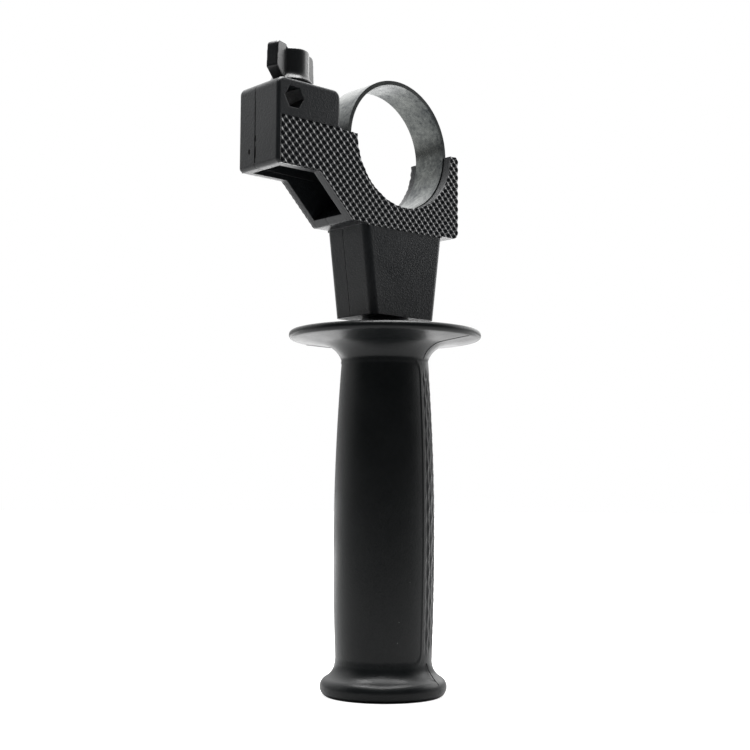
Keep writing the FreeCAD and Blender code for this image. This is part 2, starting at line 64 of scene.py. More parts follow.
def material(name: str) -> tuple[bpy.types.Material, bpy.types.NodeTree, bpy.types.ShaderNode]:
    """Start a node material.

    Args:
        name: The material's name.

    Returns:
        The material, its node tree and its Principled BSDF.
    """
    made = bpy.data.materials.new(name)
    made.use_nodes = True
    shader = made.node_tree.nodes["Principled BSDF"]
    return made, made.node_tree, shader


def add_node(tree: bpy.types.NodeTree, kind: str, **settings: object) -> bpy.types.Node:
    """Add a node and set its properties and its unlinked inputs.

    Args:
        tree: The tree that gets the node.
        kind: The node's class name, such as ShaderNodeTexNoise.
        **settings: Property names, or input names with spaces as underscores.

    Returns:
        The new node.
    """
    node = tree.nodes.new(kind)
    for key, value in settings.items():
        if hasattr(node, key):
            setattr(node, key, value)
        else:
            node.inputs[key.replace("_", " ")].default_value = value
    return node


def new_group(name: str, inputs: dict[str, float], outputs: dict[str, str]) -> bpy.types.NodeTree:
    """Make an empty shader node group.

    Args:
        name: The group's name.
        inputs: Float inputs and their defaults.
        outputs: Output names and their socket types.

    Returns:
        The group's tree, with its Group Input and Group Output nodes.
    """
    tree = bpy.data.node_groups.new(name, "ShaderNodeTree")
    for key, value in inputs.items():
        socket = tree.interface.new_socket(key, in_out="INPUT", socket_type="NodeSocketFloat")
        socket.default_value = value
    for key, kind in outputs.items():
        tree.interface.new_socket(key, in_out="OUTPUT", socket_type=kind)
    tree.nodes.new("NodeGroupInput")
    tree.nodes.new("NodeGroupOutput")
    return tree


def use_group(tree: bpy.types.NodeTree, group: bpy.types.NodeTree,
              **values: float) -> bpy.types.Node:
    """Place a node group in a material with its own values.

    Args:
        tree: The material's node tree.
        group: The shared group.
        **values: The group's inputs, with spaces as underscores.

    Returns:
        The group's node.
    """
    node = tree.nodes.new("ShaderNodeGroup")
    node.node_tree = group
    for key, value in values.items():
        node.inputs[key.replace("_", " ")].default_value = value
    return node


def ramp(tree: bpy.types.NodeTree, source: bpy.types.NodeSocket, span: Span,
         levels: Span) -> bpy.types.NodeSocket:
    """Map the span of a value to levels, and hold it there past both ends.

    Args:
        tree: The node tree.
        source: The output that gives the value.
        span: The values at which the ramp starts and ends.
        levels: The levels there.

    Returns:
        The output that gives the level.
    """
    node = add_node(tree, "ShaderNodeMapRange", From_Min=span[0], From_Max=span[1],
                    To_Min=levels[0], To_Max=levels[1])
    tree.links.new(source, node.inputs["Value"])
    return node.outputs["Result"]


def blend(tree: bpy.types.NodeTree, share: bpy.types.NodeSocket, low: Colour,
          high: Colour) -> bpy.types.NodeSocket:
    """Blend two colours.

    Args:
        tree: The node tree.
        share: The output that gives the share of the second colour.
        low: The first colour.
        high: The second colour.

    Returns:
        The output that gives the colour.
    """
    mix = add_node(tree, "ShaderNodeMix", data_type="RGBA")
    mix.inputs[COLOUR_LOW].default_value = (*low, 1.0)
    mix.inputs[COLOUR_HIGH].default_value = (*high, 1.0)
    tree.links.new(share, mix.inputs["Factor"])
    return mix.outputs[COLOUR_OUT]


@dataclass
class SurfaceEffects:
    """Effects that several finishes share, each a node group built once."""

    def __post_init__(self) -> None:
        """Build the groups."""
        self.grain = self._grain()
        self.dust = self._dust()

    def _grain(self) -> bpy.types.NodeTree:
        """Moulded grain: a fine height and a slow drift of the gloss.

        Returns:
            The group's tree.
        """
        tree = new_group("moulded grain", {"Grain Scale": 3000.0, "Drift Scale": 60.0},
                         {"Height": "NodeSocketFloat", "Drift": "NodeSocketFloat"})
        source, sink = tree.nodes["Group Input"], tree.nodes["Group Output"]
        place = add_node(tree, "ShaderNodeTexCoord")
        fine = add_node(tree, "ShaderNodeTexNoise", Detail=3.0, Roughness=0.6)
        slow = add_node(tree, "ShaderNodeTexNoise", Detail=4.0, Roughness=0.55)
        link = tree.links.new
        link(place.outputs["Object"], fine.inputs["Vector"])
        link(place.outputs["Object"], slow.inputs["Vector"])
        link(source.outputs["Grain Scale"], fine.inputs["Scale"])
        link(source.outputs["Drift Scale"], slow.inputs["Scale"])
        link(fine.outputs["Fac"], sink.inputs["Height"])
        link(slow.outputs["Fac"], sink.inputs["Drift"])
        return tree

    def _dust(self) -> bpy.types.NodeTree:
        """Dust: small pale specks, in only some of the cells that they could lie in.

        Returns:
            The group's tree.
        """
        tree = new_group("dust specks", {"Speck Scale": 260.0, "Size": 0.05, "Share": 0.3},
                         {"Mask": "NodeSocketFloat"})
        source, sink = tree.nodes["Group Input"], tree.nodes["Group Output"]
        place = add_node(tree, "ShaderNodeTexCoord")
        cells = add_node(tree, "ShaderNodeTexVoronoi")
        split = add_node(tree, "ShaderNodeSeparateColor")
        near = add_node(tree, "ShaderNodeMath", operation="LESS_THAN")
        chosen = add_node(tree, "ShaderNodeMath", operation="LESS_THAN")
        both = add_node(tree, "ShaderNodeMath", operation="MULTIPLY")
        link = tree.links.new
        link(place.outputs["Object"], cells.inputs["Vector"])
        link(source.outputs["Speck Scale"], cells.inputs["Scale"])
        link(cells.outputs["Color"], split.inputs[0])
        link(cells.outputs["Distance"], near.inputs[0])
        link(source.outputs["Size"], near.inputs[1])
        link(split.outputs[0], chosen.inputs[0])
        link(source.outputs["Share"], chosen.inputs[1])
        link(near.outputs[0], both.inputs[0])
        link(chosen.outputs[0], both.inputs[1])
        link(both.outputs[0], sink.inputs["Mask"])
        return tree


@dataclass(frozen=True)
class MouldedFinish:
    """A moulded plastic or rubber: colour, gloss, grain, softened edges and dust."""

    name: str
    colour: Colour
    dust_colour: Colour = (0.1, 0.105, 0.1)
    roughness: Span = (0.4, 0.55)
    drift_span: Span = (0.3, 0.7)
    specular: float = 0.5
    grain_scale: float = 2600.0
    grain_height: float = 0.00002
    drift_scale: float = 60.0
    speck_scale: float = 260.0
    speck_size: float = 0.035
    speck_share: float = 0.2
    edge_radius: float = 0.0002

    def build(self, effects: SurfaceEffects) -> bpy.types.Material:
        """Make the material.

        Args:
            effects: The shared node groups.

        Returns:
            The material.
        """
        made, tree, shader = material(self.name)
        link = tree.links.new
        grain = use_group(tree, effects.grain, Grain_Scale=self.grain_scale,
                          Drift_Scale=self.drift_scale)
        dust = use_group(tree, effects.dust, Speck_Scale=self.speck_scale,
                         Size=self.speck_size, Share=self.speck_share)
        link(blend(tree, dust.outputs["Mask"], self.colour, self.dust_colour),
             shader.inputs["Base Color"])
        link(ramp(tree, grain.outputs["Drift"], self.drift_span, self.roughness),
             shader.inputs["Roughness"])
        soft = add_node(tree, "ShaderNodeBevel", samples=4, Radius=self.edge_radius)
        bump = add_node(tree, "ShaderNodeBump", Distance=self.grain_height, Strength=1.0)
        link(soft.outputs["Normal"], bump.inputs["Normal"])
        link(grain.outputs["Height"], bump.inputs["Height"])
        link(bump.outputs["Normal"], shader.inputs["Normal"])
        shader.inputs["Specular IOR Level"].default_value = self.specular
        return made


@dataclass(frozen=True)
class StripSteel:
    """Galvanised strip: grey, mottled with darker cloudy patches and fine rolling lines."""

    name: str = "galvanised strip"
    pale: Colour = (0.17, 0.178, 0.17)
    dark: Colour = (0.03, 0.034, 0.037)
    cloud_scale: float = 55.0
    spot_scale: float = 700.0
    spot_share: float = 0.6
    pale_span: Span = (0.62, 0.98)
    roughness: Span = (0.4, 0.22)
    line_stretch: tuple[float, float, float] = (40.0, 2600.0, 40.0)
    line_height: float = 0.00001

    def build(self) -> bpy.types.Material:
        """Make the material.

        Returns:
            The material.
        """
        made, tree, shader = material(self.name)
        link = tree.links.new
        place = add_node(tree, "ShaderNodeTexCoord")
        clouds = add_node(tree, "ShaderNodeTexNoise", Scale=self.cloud_scale, Detail=6.0,
                          Roughness=0.62)
        spots = add_node(tree, "ShaderNodeTexNoise", Scale=self.spot_scale, Detail=4.0,
                         Roughness=0.75)
        stretch = add_node(tree, "ShaderNodeMapping", Scale=self.line_stretch)
        lines = add_node(tree, "ShaderNodeTexNoise", Scale=1.0, Detail=2.0)
        for texture in (clouds, spots):
            link(place.outputs["Object"], texture.inputs["Vector"])
        link(place.outputs["Object"], stretch.inputs["Vector"])
        link(stretch.outputs["Vector"], lines.inputs["Vector"])
        add = add_node(tree, "ShaderNodeMath", operation="MULTIPLY_ADD")
        add.inputs[1].default_value = self.spot_share
        link(spots.outputs["Fac"], add.inputs[0])
        link(clouds.outputs["Fac"], add.inputs[2])
        paleness = ramp(tree, add.outputs[0], self.pale_span, (0.0, 1.0))
        link(blend(tree, paleness, self.dark, self.pale), shader.inputs["Base Color"])
        link(ramp(tree, paleness, (0.0, 1.0), self.roughness), shader.inputs["Roughness"])
        bump = add_node(tree, "ShaderNodeBump", Distance=self.line_height, Strength=1.0)
        link(lines.outputs["Fac"], bump.inputs["Height"])
        link(bump.outputs["Normal"], shader.inputs["Normal"])
        shader.inputs["Metallic"].default_value = 1.0
        return made


@dataclass(frozen=True)
class PlatedMetal:
    """Plated or turned metal of small fittings, with a slight cloudiness."""

    name: str
    colour: Colour
    roughness: Span = (0.42, 0.25)
    cloud_scale: float = 300.0
    cloud_shade: float = 0.75

    def build(self) -> bpy.types.Material:
        """Make the material.

        Returns:
            The material.
        """
        made, tree, shader = material(self.name)
        link = tree.links.new
        place = add_node(tree, "ShaderNodeTexCoord")
        clouds = add_node(tree, "ShaderNodeTexNoise", Scale=self.cloud_scale, Detail=4.0)
        link(place.outputs["Object"], clouds.inputs["Vector"])
        shaded = tuple(channel * self.cloud_shade for channel in self.colour)
        link(blend(tree, clouds.outputs["Fac"], shaded, self.colour), shader.inputs["Base Color"])
        link(ramp(tree, clouds.outputs["Fac"], (0.0, 1.0), self.roughness),
             shader.inputs["Roughness"])
        shader.inputs["Metallic"].default_value = 1.0
        return made


def finish_mesh(bm: bmesh.types.BMesh, name: str, body: str, finish: bpy.types.Material,
                smooth_angle: float = 40.0) -> bpy.types.Object:
    """Turn a bmesh into a piece that rides on a CAD body.

    Args:
        bm: The geometry, in metres in the frame; it is freed.
        name: The piece's name.
        body: The CAD body that it moves with.
        finish: Its material.
        smooth_angle: Edges sharper than this many degrees stay sharp.

    Returns:
        The new object.
    """
    mesh = bpy.data.meshes.new(name)
    bm.to_mesh(mesh)
    bm.free()
    if "custom_normal" in mesh.attributes:
        mesh.attributes.remove(mesh.attributes["custom_normal"])
    mesh.materials.append(finish)
    mesh.shade_smooth()
    mesh.set_sharp_from_angle(angle=math.radians(smooth_angle))
    piece = bpy.data.objects.new(name, mesh)
    bpy.context.scene.collection.objects.link(piece)
    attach(piece, body)
    log.info("%s: %d faces on %s", name, len(mesh.polygons), body)
    return piece


def close_tube(bm: bmesh.types.BMesh, rings: list[list[bmesh.types.BMVert]]) -> None:
    """Bridge loose rings of vertices into a closed tube.

    Args:
        bm: The mesh that holds the rings and nothing else.
        rings: The rings in order, all with the same count of vertices.
    """
    loops = [[bm.edges.new(pair) for pair in zip(ring, ring[1:] + ring[:1])] for ring in rings]
    for first, second in zip(loops, loops[1:]):
        bmesh.ops.bridge_loops(bm, edges=first + second)
    for end in (loops[0], loops[-1]):
        bmesh.ops.contextual_create(bm, geom=end)
    bmesh.ops.recalc_face_normals(bm, faces=bm.faces)


class Profile:
    """A chain of edges in the XZ plane, drawn with lines and arcs, for spinning."""

    def __init__(self, x: float, z: float) -> None:
        """Start the chain.

        Args:
            x: Distance from the axis, in millimetres.
            z: Height.
        """
        self.bm = bmesh.new()
        self.last = self.bm.verts.new((x * MM, 0, z * MM))

    def _to(self, x: float, z: float) -> None:
        """Add one edge.

        Args:
            x: Distance of its end from the axis, in millimetres.
            z: Height of its end.
        """
        vert = self.bm.verts.new((x * MM, 0, z * MM))
        self.bm.edges.new((self.last, vert))
        self.last = vert

    def line(self, x: float, z: float, steps: int = 1) -> "Profile":
        """Add a straight run.

        Args:
            x: Distance of its end from the axis, in millimetres.
            z: Height of its end.
            steps: Equal edges that it is made of.

        Returns:
            The profile.
        """
        x0, z0 = self.last.co.x / MM, self.last.co.z / MM
        for step in range(1, steps + 1):
            self._to(x0 + (x - x0) * step / steps, z0 + (z - z0) * step / steps)
        return self

    def arc(self, x: float, z: float, radius: float, steps: int) -> "Profile":
        """Add an arc.

        Args:
            x: Distance of its end from the axis, in millimetres.
            z: Height of its end.
            radius: Its radius; where positive, the centre is left of the way to the end.
            steps: Edges that it is made of.

        Returns:
            The profile.
        """
        start, end = Vector((self.last.co.x / MM, self.last.co.z / MM)), Vector((x, z))
        chord = end - start
        left = Vector((-chord.y, chord.x)).normalized()
        rise = math.sqrt(max(radius ** 2 - (chord.length / 2) ** 2, 0.0))
        centre = (start + end) / 2 + left * math.copysign(rise, radius)
        first = math.atan2(start.y - centre.y, start.x - centre.x)
        turn = 2 * math.asin(min(chord.length / 2 / abs(radius), 1.0))
        turn = math.copysign(turn, radius)
        for step in range(1, steps + 1):
            angle = first + turn * step / steps
            self._to(centre.x + abs(radius) * math.cos(angle),
                     centre.y + abs(radius) * math.sin(angle))
        return self

    def spin(self, turns: int) -> bmesh.types.BMesh:
        """Turn the chain once about Z.

        Args:
            turns: Steps in the full turn.

        Returns:
            The closed surface.
        """
        geometry = self.bm.verts[:] + self.bm.edges[:]
        bmesh.ops.spin(self.bm, geom=geometry, cent=(0, 0, 0), axis=(0, 0, 1),
                       angle=2 * math.pi, steps=turns, use_merge=True)
        bmesh.ops.remove_doubles(self.bm, verts=self.bm.verts, dist=1e-7)
        bmesh.ops.recalc_face_normals(self.bm, faces=self.bm.faces)
        return self.bm


@dataclass
class Grip:
    """The moulded grip: barrel, foot and guard flange, with its palm ribs and smooth panel."""

    length: float = 122.8
    hub_height: float = 2.6
    hub_radius: float = 9.2
    bore_radius: float = 4.3
    bore_floor: float = 58.0
    flange_radius: float = 33.0
    flange_thick: float = 2.9
    flange_rise: float = 7.2
    flange_edge: float = 1.2
    top_radius: float = 14.85
    low_radius: float = 16.3
    barrel_arc: float = 850.0
    flange_round: float = 1.3
    fillet_reach: float = 6.48
    fillet_drop: float = 1.5
    fillet_radius: float = 8.8
    hub_fillet: float = 1.5
    hub_edge: float = 0.3
    foot_radius: float = 21.4
    foot_contact: float = 19.6
    foot_bulge: float = 2.9
    foot_height: float = 6.1
    foot_neck: float = 11.5
    foot_low_round: float = 3.3
    foot_high_round: float = 3.5
    foot_shoulder: float = 0.5
    foot_flare: float = 6.5
    groove_inner: float = 6.0
    groove_outer: float = 13.0
    groove_depth: float = 1.0
    panel_facing: float = 197.6
    panel_half_angle: Span = (78.5, 81.0)
    panel_widens: Span = (25.0, 105.0)
    panel_low: float = 11.6
    panel_high: float = 111.8
    panel_round: float = 3.4
    panel_step: float = 0.14
    panel_edge: float = 0.35
    panel_bead: float = 0.09
    bead_place: float = 0.3
    bead_width: float = 0.25
    rib_pitch_angle: float = 7.5
    rib_length: float = 7.0
    rib_depth: float = 0.38
    rib_low: float = 14.0
    rib_high: float = 109.5
    rib_half_width: float = 0.6
    rib_half_length: float = 0.58
    rib_fade: float = 3.0
    rib_gap: float = 1.4
    rib_ramp: float = 0.6
    skin: float = 1.0
    relief_below: float = 3.0
    relief_above: float = 1.0
    relief_fade: float = 1.5
    parting: float = 288.5
    flash_half_width: float = 0.14
    flash_root: float = 0.1
    flash_height: float = 0.13
    around: int = 400

    @property
    def flange_low(self) -> float:
        """Height of the flange's underside."""
        return self.length - self.flange_thick

    @property
    def barrel_top(self) -> float:
        """Height at which the barrel runs out into the flange's fillet."""
        return self.flange_low - self.flange_rise

    def _fillet(self, profile: Profile, steps: int) -> Profile:
        """Run a profile from the barrel's top out under the flange.

        Args:
            profile: The profile, which has reached the barrel's top.
            steps: Edges that the fillet is made of.

        Returns:
            The profile.
        """
        return profile.arc(self.top_radius + self.fillet_reach,
                           self.flange_low - self.fillet_drop, -self.fillet_radius, steps)

    def _surface(self) -> bmesh.types.BMesh:
        """Spin the plain profile, from the foot's middle round to the bore.

        Returns:
            The turned surface, without its relief.
        """
        hub_top = self.length + self.hub_height
        profile = Profile(0, 0)
        profile.line(self.groove_inner, 0, 2)
        profile.line(self.groove_inner + self.groove_depth, self.groove_depth)
        profile.line(self.groove_outer - self.groove_depth, self.groove_depth, 3)
        profile.line(self.groove_outer, 0)
        profile.line(self.foot_contact, 0, 4)
        profile.arc(self.foot_radius, self.foot_bulge, self.foot_low_round, 6)
        profile.arc((self.foot_radius + self.low_radius) / 2 + self.foot_shoulder,
                    self.foot_height, self.foot_high_round, 7)
        profile.arc(self.low_radius, self.foot_neck, -self.foot_flare, 8)
        profile.arc(self.top_radius, self.barrel_top, self.barrel_arc, 150)
        self._fillet(profile, 12)
        profile.line(self.flange_radius - self.flange_edge, self.flange_low, 8)
        profile.arc(self.flange_radius, self.flange_low + self.flange_edge, self.flange_round, 4)
        profile.line(self.flange_radius, self.length - self.flange_edge)
        profile.arc(self.flange_radius - self.flange_edge, self.length, self.flange_round, 4)
        profile.line(self.hub_radius + self.hub_fillet, self.length, 8)
        profile.arc(self.hub_radius, self.length + self.hub_fillet, -self.hub_fillet, 4)
        profile.line(self.hub_radius, hub_top - self.hub_edge)
        profile.line(self.hub_radius - self.hub_edge, hub_top)
        profile.line(self.bore_radius, hub_top, 2).line(self.bore_radius, self.bore_floor, 4)
        profile.line(0, self.bore_floor)
        return profile.spin(self.around)

    def _rib_drop(self, turn: float, z: float) -> float:
        """Depth of the lens-shaped hollows between the palm ribs.

        Args:
            turn: Angle round the grip, in degrees.
            z: Height in millimetres.

        Returns:
            How far the surface lies below the ribs, in millimetres.
        """
        column = turn / self.rib_pitch_angle
        best = 0.0
        for near in (math.floor(column), math.floor(column) + 1):
            shift = 0.5 if near % 2 else 0.0
            row = z / self.rib_length - shift
            across = (column - near) / self.rib_half_width
            along = (row - round(row)) / self.rib_half_length
            best = max(best, 1.0 - across ** 2 - along ** 2)
        ends = min((z - self.rib_low) / self.rib_fade, (self.rib_high - z) / self.rib_fade, 1.0)
        return self.rib_depth * max(best, 0.0) * max(ends, 0.0)

    def _panel_distance(self, turn: float, z: float, radius: float) -> float:
        """Measure how far a place lies inside the rounded border of the smooth panel.

        Args:
            turn: Angle round the grip, in degrees.
            z: Height in millimetres.
            radius: Distance from the axis.

        Returns:
            The distance in millimetres, negative outside the panel.
        """
        offset = abs((turn - self.panel_facing + 180.0) % 360.0 - 180.0)
        start, end = self.panel_widens
        share = min(max((z - start) / (end - start), 0.0), 1.0)
        low, high = self.panel_half_angle
        across = math.radians(low + (high - low) * share - offset) * radius
        along = min(z - self.panel_low, self.panel_high - z)
        if across < self.panel_round and along < self.panel_round:
            corner = math.hypot(self.panel_round - across, self.panel_round - along)
            return self.panel_round - corner
        return min(across, along)

    def _relief(self, turn: float, z: float, radius: float) -> float:
        """Measure how far the moulded surface lies below the plain turned one.

        Args:
            turn: Angle round the grip, in degrees.
            z: Height in millimetres.
            radius: Distance of the turned surface from the axis.

        Returns:
            The depth in millimetres.
        """
        inside = self._panel_distance(turn, z, radius)
        step = self.panel_step * min(max(inside / self.panel_edge + 0.5, 0.0), 1.0)
        bead = self.panel_bead * math.exp(-((inside + self.bead_place) / self.bead_width) ** 2)
        ribs = self._rib_drop(turn, z)
        ribs *= min(max(-inside - self.rib_gap, 0.0) / self.rib_ramp, 1.0)
        return step - bead + ribs - self.panel_step / 2

    def build(self, finish: bpy.types.Material) -> bpy.types.Object:
        """Model the grip and let it stand for the CAD node.

        Args:
            finish: The rubber.

        Returns:
            The piece.
        """
        bm = self._surface()
        low, high = self.foot_neck - self.relief_below, self.barrel_top + self.relief_above
        for vert in bm.verts:
            x, y, z = vert.co / MM
            radius = math.hypot(x, y)
            if radius < self.top_radius - self.skin or not low < z < high:
                continue
            turn = math.degrees(math.atan2(y, x)) % 360.0
            fade = min(1.0, (z - low) / self.relief_fade, (high - z) / self.relief_above)
            scale = (radius - self._relief(turn, z, radius) * fade) / radius
            vert.co.x *= scale
            vert.co.y *= scale
        piece = finish_mesh(bm, "grip_moulding", "handgrip", finish, 50)
        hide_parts("grip")
        return piece

    def build_parting_lines(self, finish: bpy.types.Material) -> None:
        """Model the fine flash along the mould's parting plane, on flange and foot.

        Args:
            finish: The rubber.
        """
        fillet = self._fillet(Profile(self.top_radius, self.barrel_top), 8)
        under = [(vert.co.x / MM, vert.co.z / MM) for vert in fillet.bm.verts]
        under += [(self.flange_radius - self.flange_edge, self.flange_low),
                  (self.flange_radius - 0.3, self.flange_low + 0.5)]
        fillet.bm.free()
        # Six places down the flare and round the foot's bulge
        foot = [(self.low_radius + 0.1, self.foot_neck),
                (self.low_radius + 0.8, self.foot_neck - 2.2),
                (self.low_radius + 2.9, self.foot_height + 0.4),
                (self.foot_radius - 0.6, self.foot_bulge + 2.0),
                (self.foot_radius, self.foot_bulge),
                (self.foot_radius - 0.5, self.foot_bulge - 1.5)]
        for place, chain in (("flange", under), ("foot", foot)):
            for side, turn in (("near", self.parting), ("far", self.parting - 180.0)):
                self._bead(f"parting_line_{place}_{side}", chain, turn, finish)

    def _bead(self, name: str, chain: list[tuple[float, float]], turn: float,
              finish: bpy.types.Material) -> None:
        """Lay a narrow bead with a pointed section along a chain in one half plane.

        Args:
            name: The piece's name.
            chain: Distances from the axis and heights, in millimetres.
            turn: Angle of the half plane round the grip, in degrees.
            finish: The rubber.
        """
        angle = math.radians(turn)
        out = Vector((math.cos(angle), math.sin(angle), 0.0))
        along = Vector((-out.y, out.x, 0.0))
        bm = bmesh.new()
        rings = []
        for index, (radius, z) in enumerate(chain):
            before, after = chain[max(index - 1, 0)], chain[min(index + 1, len(chain) - 1)]
            way = Vector((after[0] - before[0], after[1] - before[1])).normalized()
            normal = out * way.y * -1.0 + Vector((0, 0, way.x))
            steep = abs(way.y) > 0.5
            into_wall = steep and out.dot(normal) < 0
            into_flange = not steep and normal.z > 0 and z > self.length / 2
            if into_wall or into_flange:
                normal.negate()
            centre = out * radius + Vector((0, 0, z))
            side, root = along * self.flash_half_width, normal * self.flash_root
            rings.append([bm.verts.new((centre + offset) * MM)
                          for offset in (side - root, normal * self.flash_height, -side - root)])
        close_tube(bm, rings)
        finish_mesh(bm, name, "handgrip", finish, 70)


@dataclass
class DiamondTexture:
    """Moulded net of ridges round sunken diamonds, cut to the outline of its field."""

    depth: float = 0.8
    half_thick: float = 10.38
    diagonal: float = 2.85
    hollow: float = 0.5
    crest: float = 0.05
    dip: float = 0.22
    cells: int = 42
    steps: int = 8
    origin_x: float = -8.483
    origin_z: float = 173.55
    field_low: float = 156.6
    field_sink: float = 0.3
    field_height: float = 3.0
    flatness: float = 0.03
    facing: float = 0.99

    def _height(self, u: float, v: float) -> float:
        """Height of the net over its ground.

        Args:
            u: Place across one set of ridges, in cells.
            v: Place across the other set.

        Returns:
            Height in millimetres.
        """
        half = self.diagonal / math.sqrt(8)
        across = [abs(place - round(place)) * 2 for place in (u, v)]
        near, far = min(across), max(across)
        slope = math.hypot(near, self.crest / half) - self.crest / half
        sag = self.dip * math.sin(math.pi / 2 * far) ** 2 * (1.0 - near)
        return self.depth - self.hollow * slope - sag

    def _slab(self, side: Side) -> bpy.types.Object:
        """Make a closed slab whose outer face is the net.

        Args:
            side: The face of the bracket.

        Returns:
            The slab, loose.
        """
        cell = self.diagonal / math.sqrt(2)
        bm = bmesh.new()
        bmesh.ops.create_grid(bm, x_segments=self.cells * self.steps,
                              y_segments=self.cells * self.steps,
                              size=self.cells * cell / 2 * MM)
        for vert in bm.verts:
            vert.co.z = self._height(vert.co.x / MM / cell, vert.co.y / MM / cell) * MM
        rim = [edge for edge in bm.edges if edge.is_boundary]
        wall = bmesh.ops.extrude_edge_only(bm, edges=rim)
        foot = [item for item in wall["geom"] if isinstance(item, bmesh.types.BMVert)]
        for vert in foot:
            vert.co.z = -self.depth * MM
        bmesh.ops.contextual_create(
            bm, geom=[edge for edge in bm.edges if edge.is_boundary])
        bmesh.ops.rotate(bm, verts=bm.verts, matrix=Matrix.Rotation(math.radians(45), 3, "Z"))
        bmesh.ops.rotate(bm, verts=bm.verts,
                         matrix=Matrix.Rotation(math.radians(-90 * side.value), 3, "X"))
        ground = side.value * (self.half_thick - self.depth)
        bmesh.ops.translate(bm, verts=bm.verts,
                            vec=Vector((self.origin_x, ground, self.origin_z)) * MM)
        bmesh.ops.recalc_face_normals(bm, faces=bm.faces)
        return loose_object(bm, "slab")

    def _field(self, side: Side, node: str) -> bpy.types.Object:
        """Make a prism over the sunken ground that the shell leaves for the texture.

        Args:
            side: The face of the bracket.
            node: The CAD shell that carries the texture.

        Returns:
            The prism, loose.
        """
        bm = merged_copy(node)
        ground = side.value * (self.half_thick - self.depth) * MM
        kept = {face for face in bm.faces
                if face.normal.y * side.value > self.facing
                and face.calc_center_median().z > self.field_low * MM
                and all(abs(vert.co.y - ground) < self.flatness * MM for vert in face.verts)}
        drop = [face for face in bm.faces if face not in kept]
        bmesh.ops.delete(bm, geom=drop, context="FACES")
        bmesh.ops.translate(bm, verts=bm.verts, vec=(0, -side.value * self.field_sink * MM, 0))
        made = bmesh.ops.extrude_face_region(bm, geom=bm.faces[:])
        top = [item for item in made["geom"] if isinstance(item, bmesh.types.BMVert)]
        bmesh.ops.translate(bm, verts=top, vec=(0, side.value * self.field_height * MM, 0))
        bmesh.ops.recalc_face_normals(bm, faces=bm.faces)
        return loose_object(bm, "field")

    def build(self, side: Side, node: str, finish: bpy.types.Material) -> bpy.types.Object:
        """Model one face's texture.

        Args:
            side: The face of the bracket.
            node: The CAD shell that carries it.
            finish: The shell's plastic.

        Returns:
            The piece.
        """
        slab, field = self._slab(side), self._field(side, node)
        cut = slab.modifiers.new("outline", "BOOLEAN")
        cut.operation, cut.solver, cut.object = "INTERSECT", "EXACT", field
        name = f"diamonds_{side.name.lower()}"
        return finish_mesh(evaluated_bmesh(slab, field), name, "bracket", finish,
                           60)


def dress_node(node: str, finish: bpy.types.Material) -> None:
    """Put a finish on a CAD node's own material slots.

    Args:
        node: The CAD node.
        finish: The material.
    """
    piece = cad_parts[node]
    for slot in piece.material_slots:
        slot.material = finish


def merged_copy(node: str) -> bmesh.types.BMesh:
    """Copy a CAD node's mesh and close its seams.

    Args:
        node: The CAD node, which is left alone.

    Returns:
        The copy.
    """
    bm = bmesh.new()
    bm.from_mesh(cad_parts[node].data)
    bmesh.ops.remove_doubles(bm, verts=bm.verts, dist=1e-6)
    bmesh.ops.recalc_face_normals(bm, faces=bm.faces)
    return bm


def loose_object(bm: bmesh.types.BMesh, name: str) -> bpy.types.Object:
    """Put a bmesh in a plain object, for a modifier.

    Args:
        bm: The geometry; it is freed.
        name: The object's name.

    Returns:
        The object.
    """
    mesh = bpy.data.meshes.new(name)
    bm.to_mesh(mesh)
    bm.free()
    loose = bpy.data.objects.new(name, mesh)
    bpy.context.scene.collection.objects.link(loose)
    return loose


def evaluated_bmesh(loose: bpy.types.Object, *helpers: bpy.types.Object) -> bmesh.types.BMesh:
    """Take the result of a loose object's modifiers.

    Args:
        loose: The object; it is removed.
        *helpers: Objects that its modifiers use; they are removed too.

    Returns:
        The result.
    """
    evaluated = loose.evaluated_get(bpy.context.evaluated_depsgraph_get())
    bm = bmesh.new()
    bm.from_mesh(evaluated.to_mesh())
    for item in (loose, *helpers):
        bpy.data.objects.remove(item)
    return bm


@dataclass
class Knob:
    """The wing knob with the soft corners and fillets of a moulding."""

    voxel: float = 0.18
    smoothing: int = 34
    softness: float = 0.5

    def build(self, finish: bpy.types.Material) -> bpy.types.Object:
        """Model the knob and let it stand for the CAD node.

        Args:
            finish: Its plastic.

        Returns:
            The piece.
        """
        loose = loose_object(merged_copy("wing_knob"), "knob_block")
        remesh = loose.modifiers.new("voxels", "REMESH")
        remesh.mode, remesh.voxel_size = "VOXEL", self.voxel * MM
        smooth = loose.modifiers.new("soft corners", "SMOOTH")
        smooth.factor, smooth.iterations = self.softness, self.smoothing
        piece = finish_mesh(evaluated_bmesh(loose), "knob_moulding", "knob", finish,
                            180)
        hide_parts("wing_knob")
        return piece


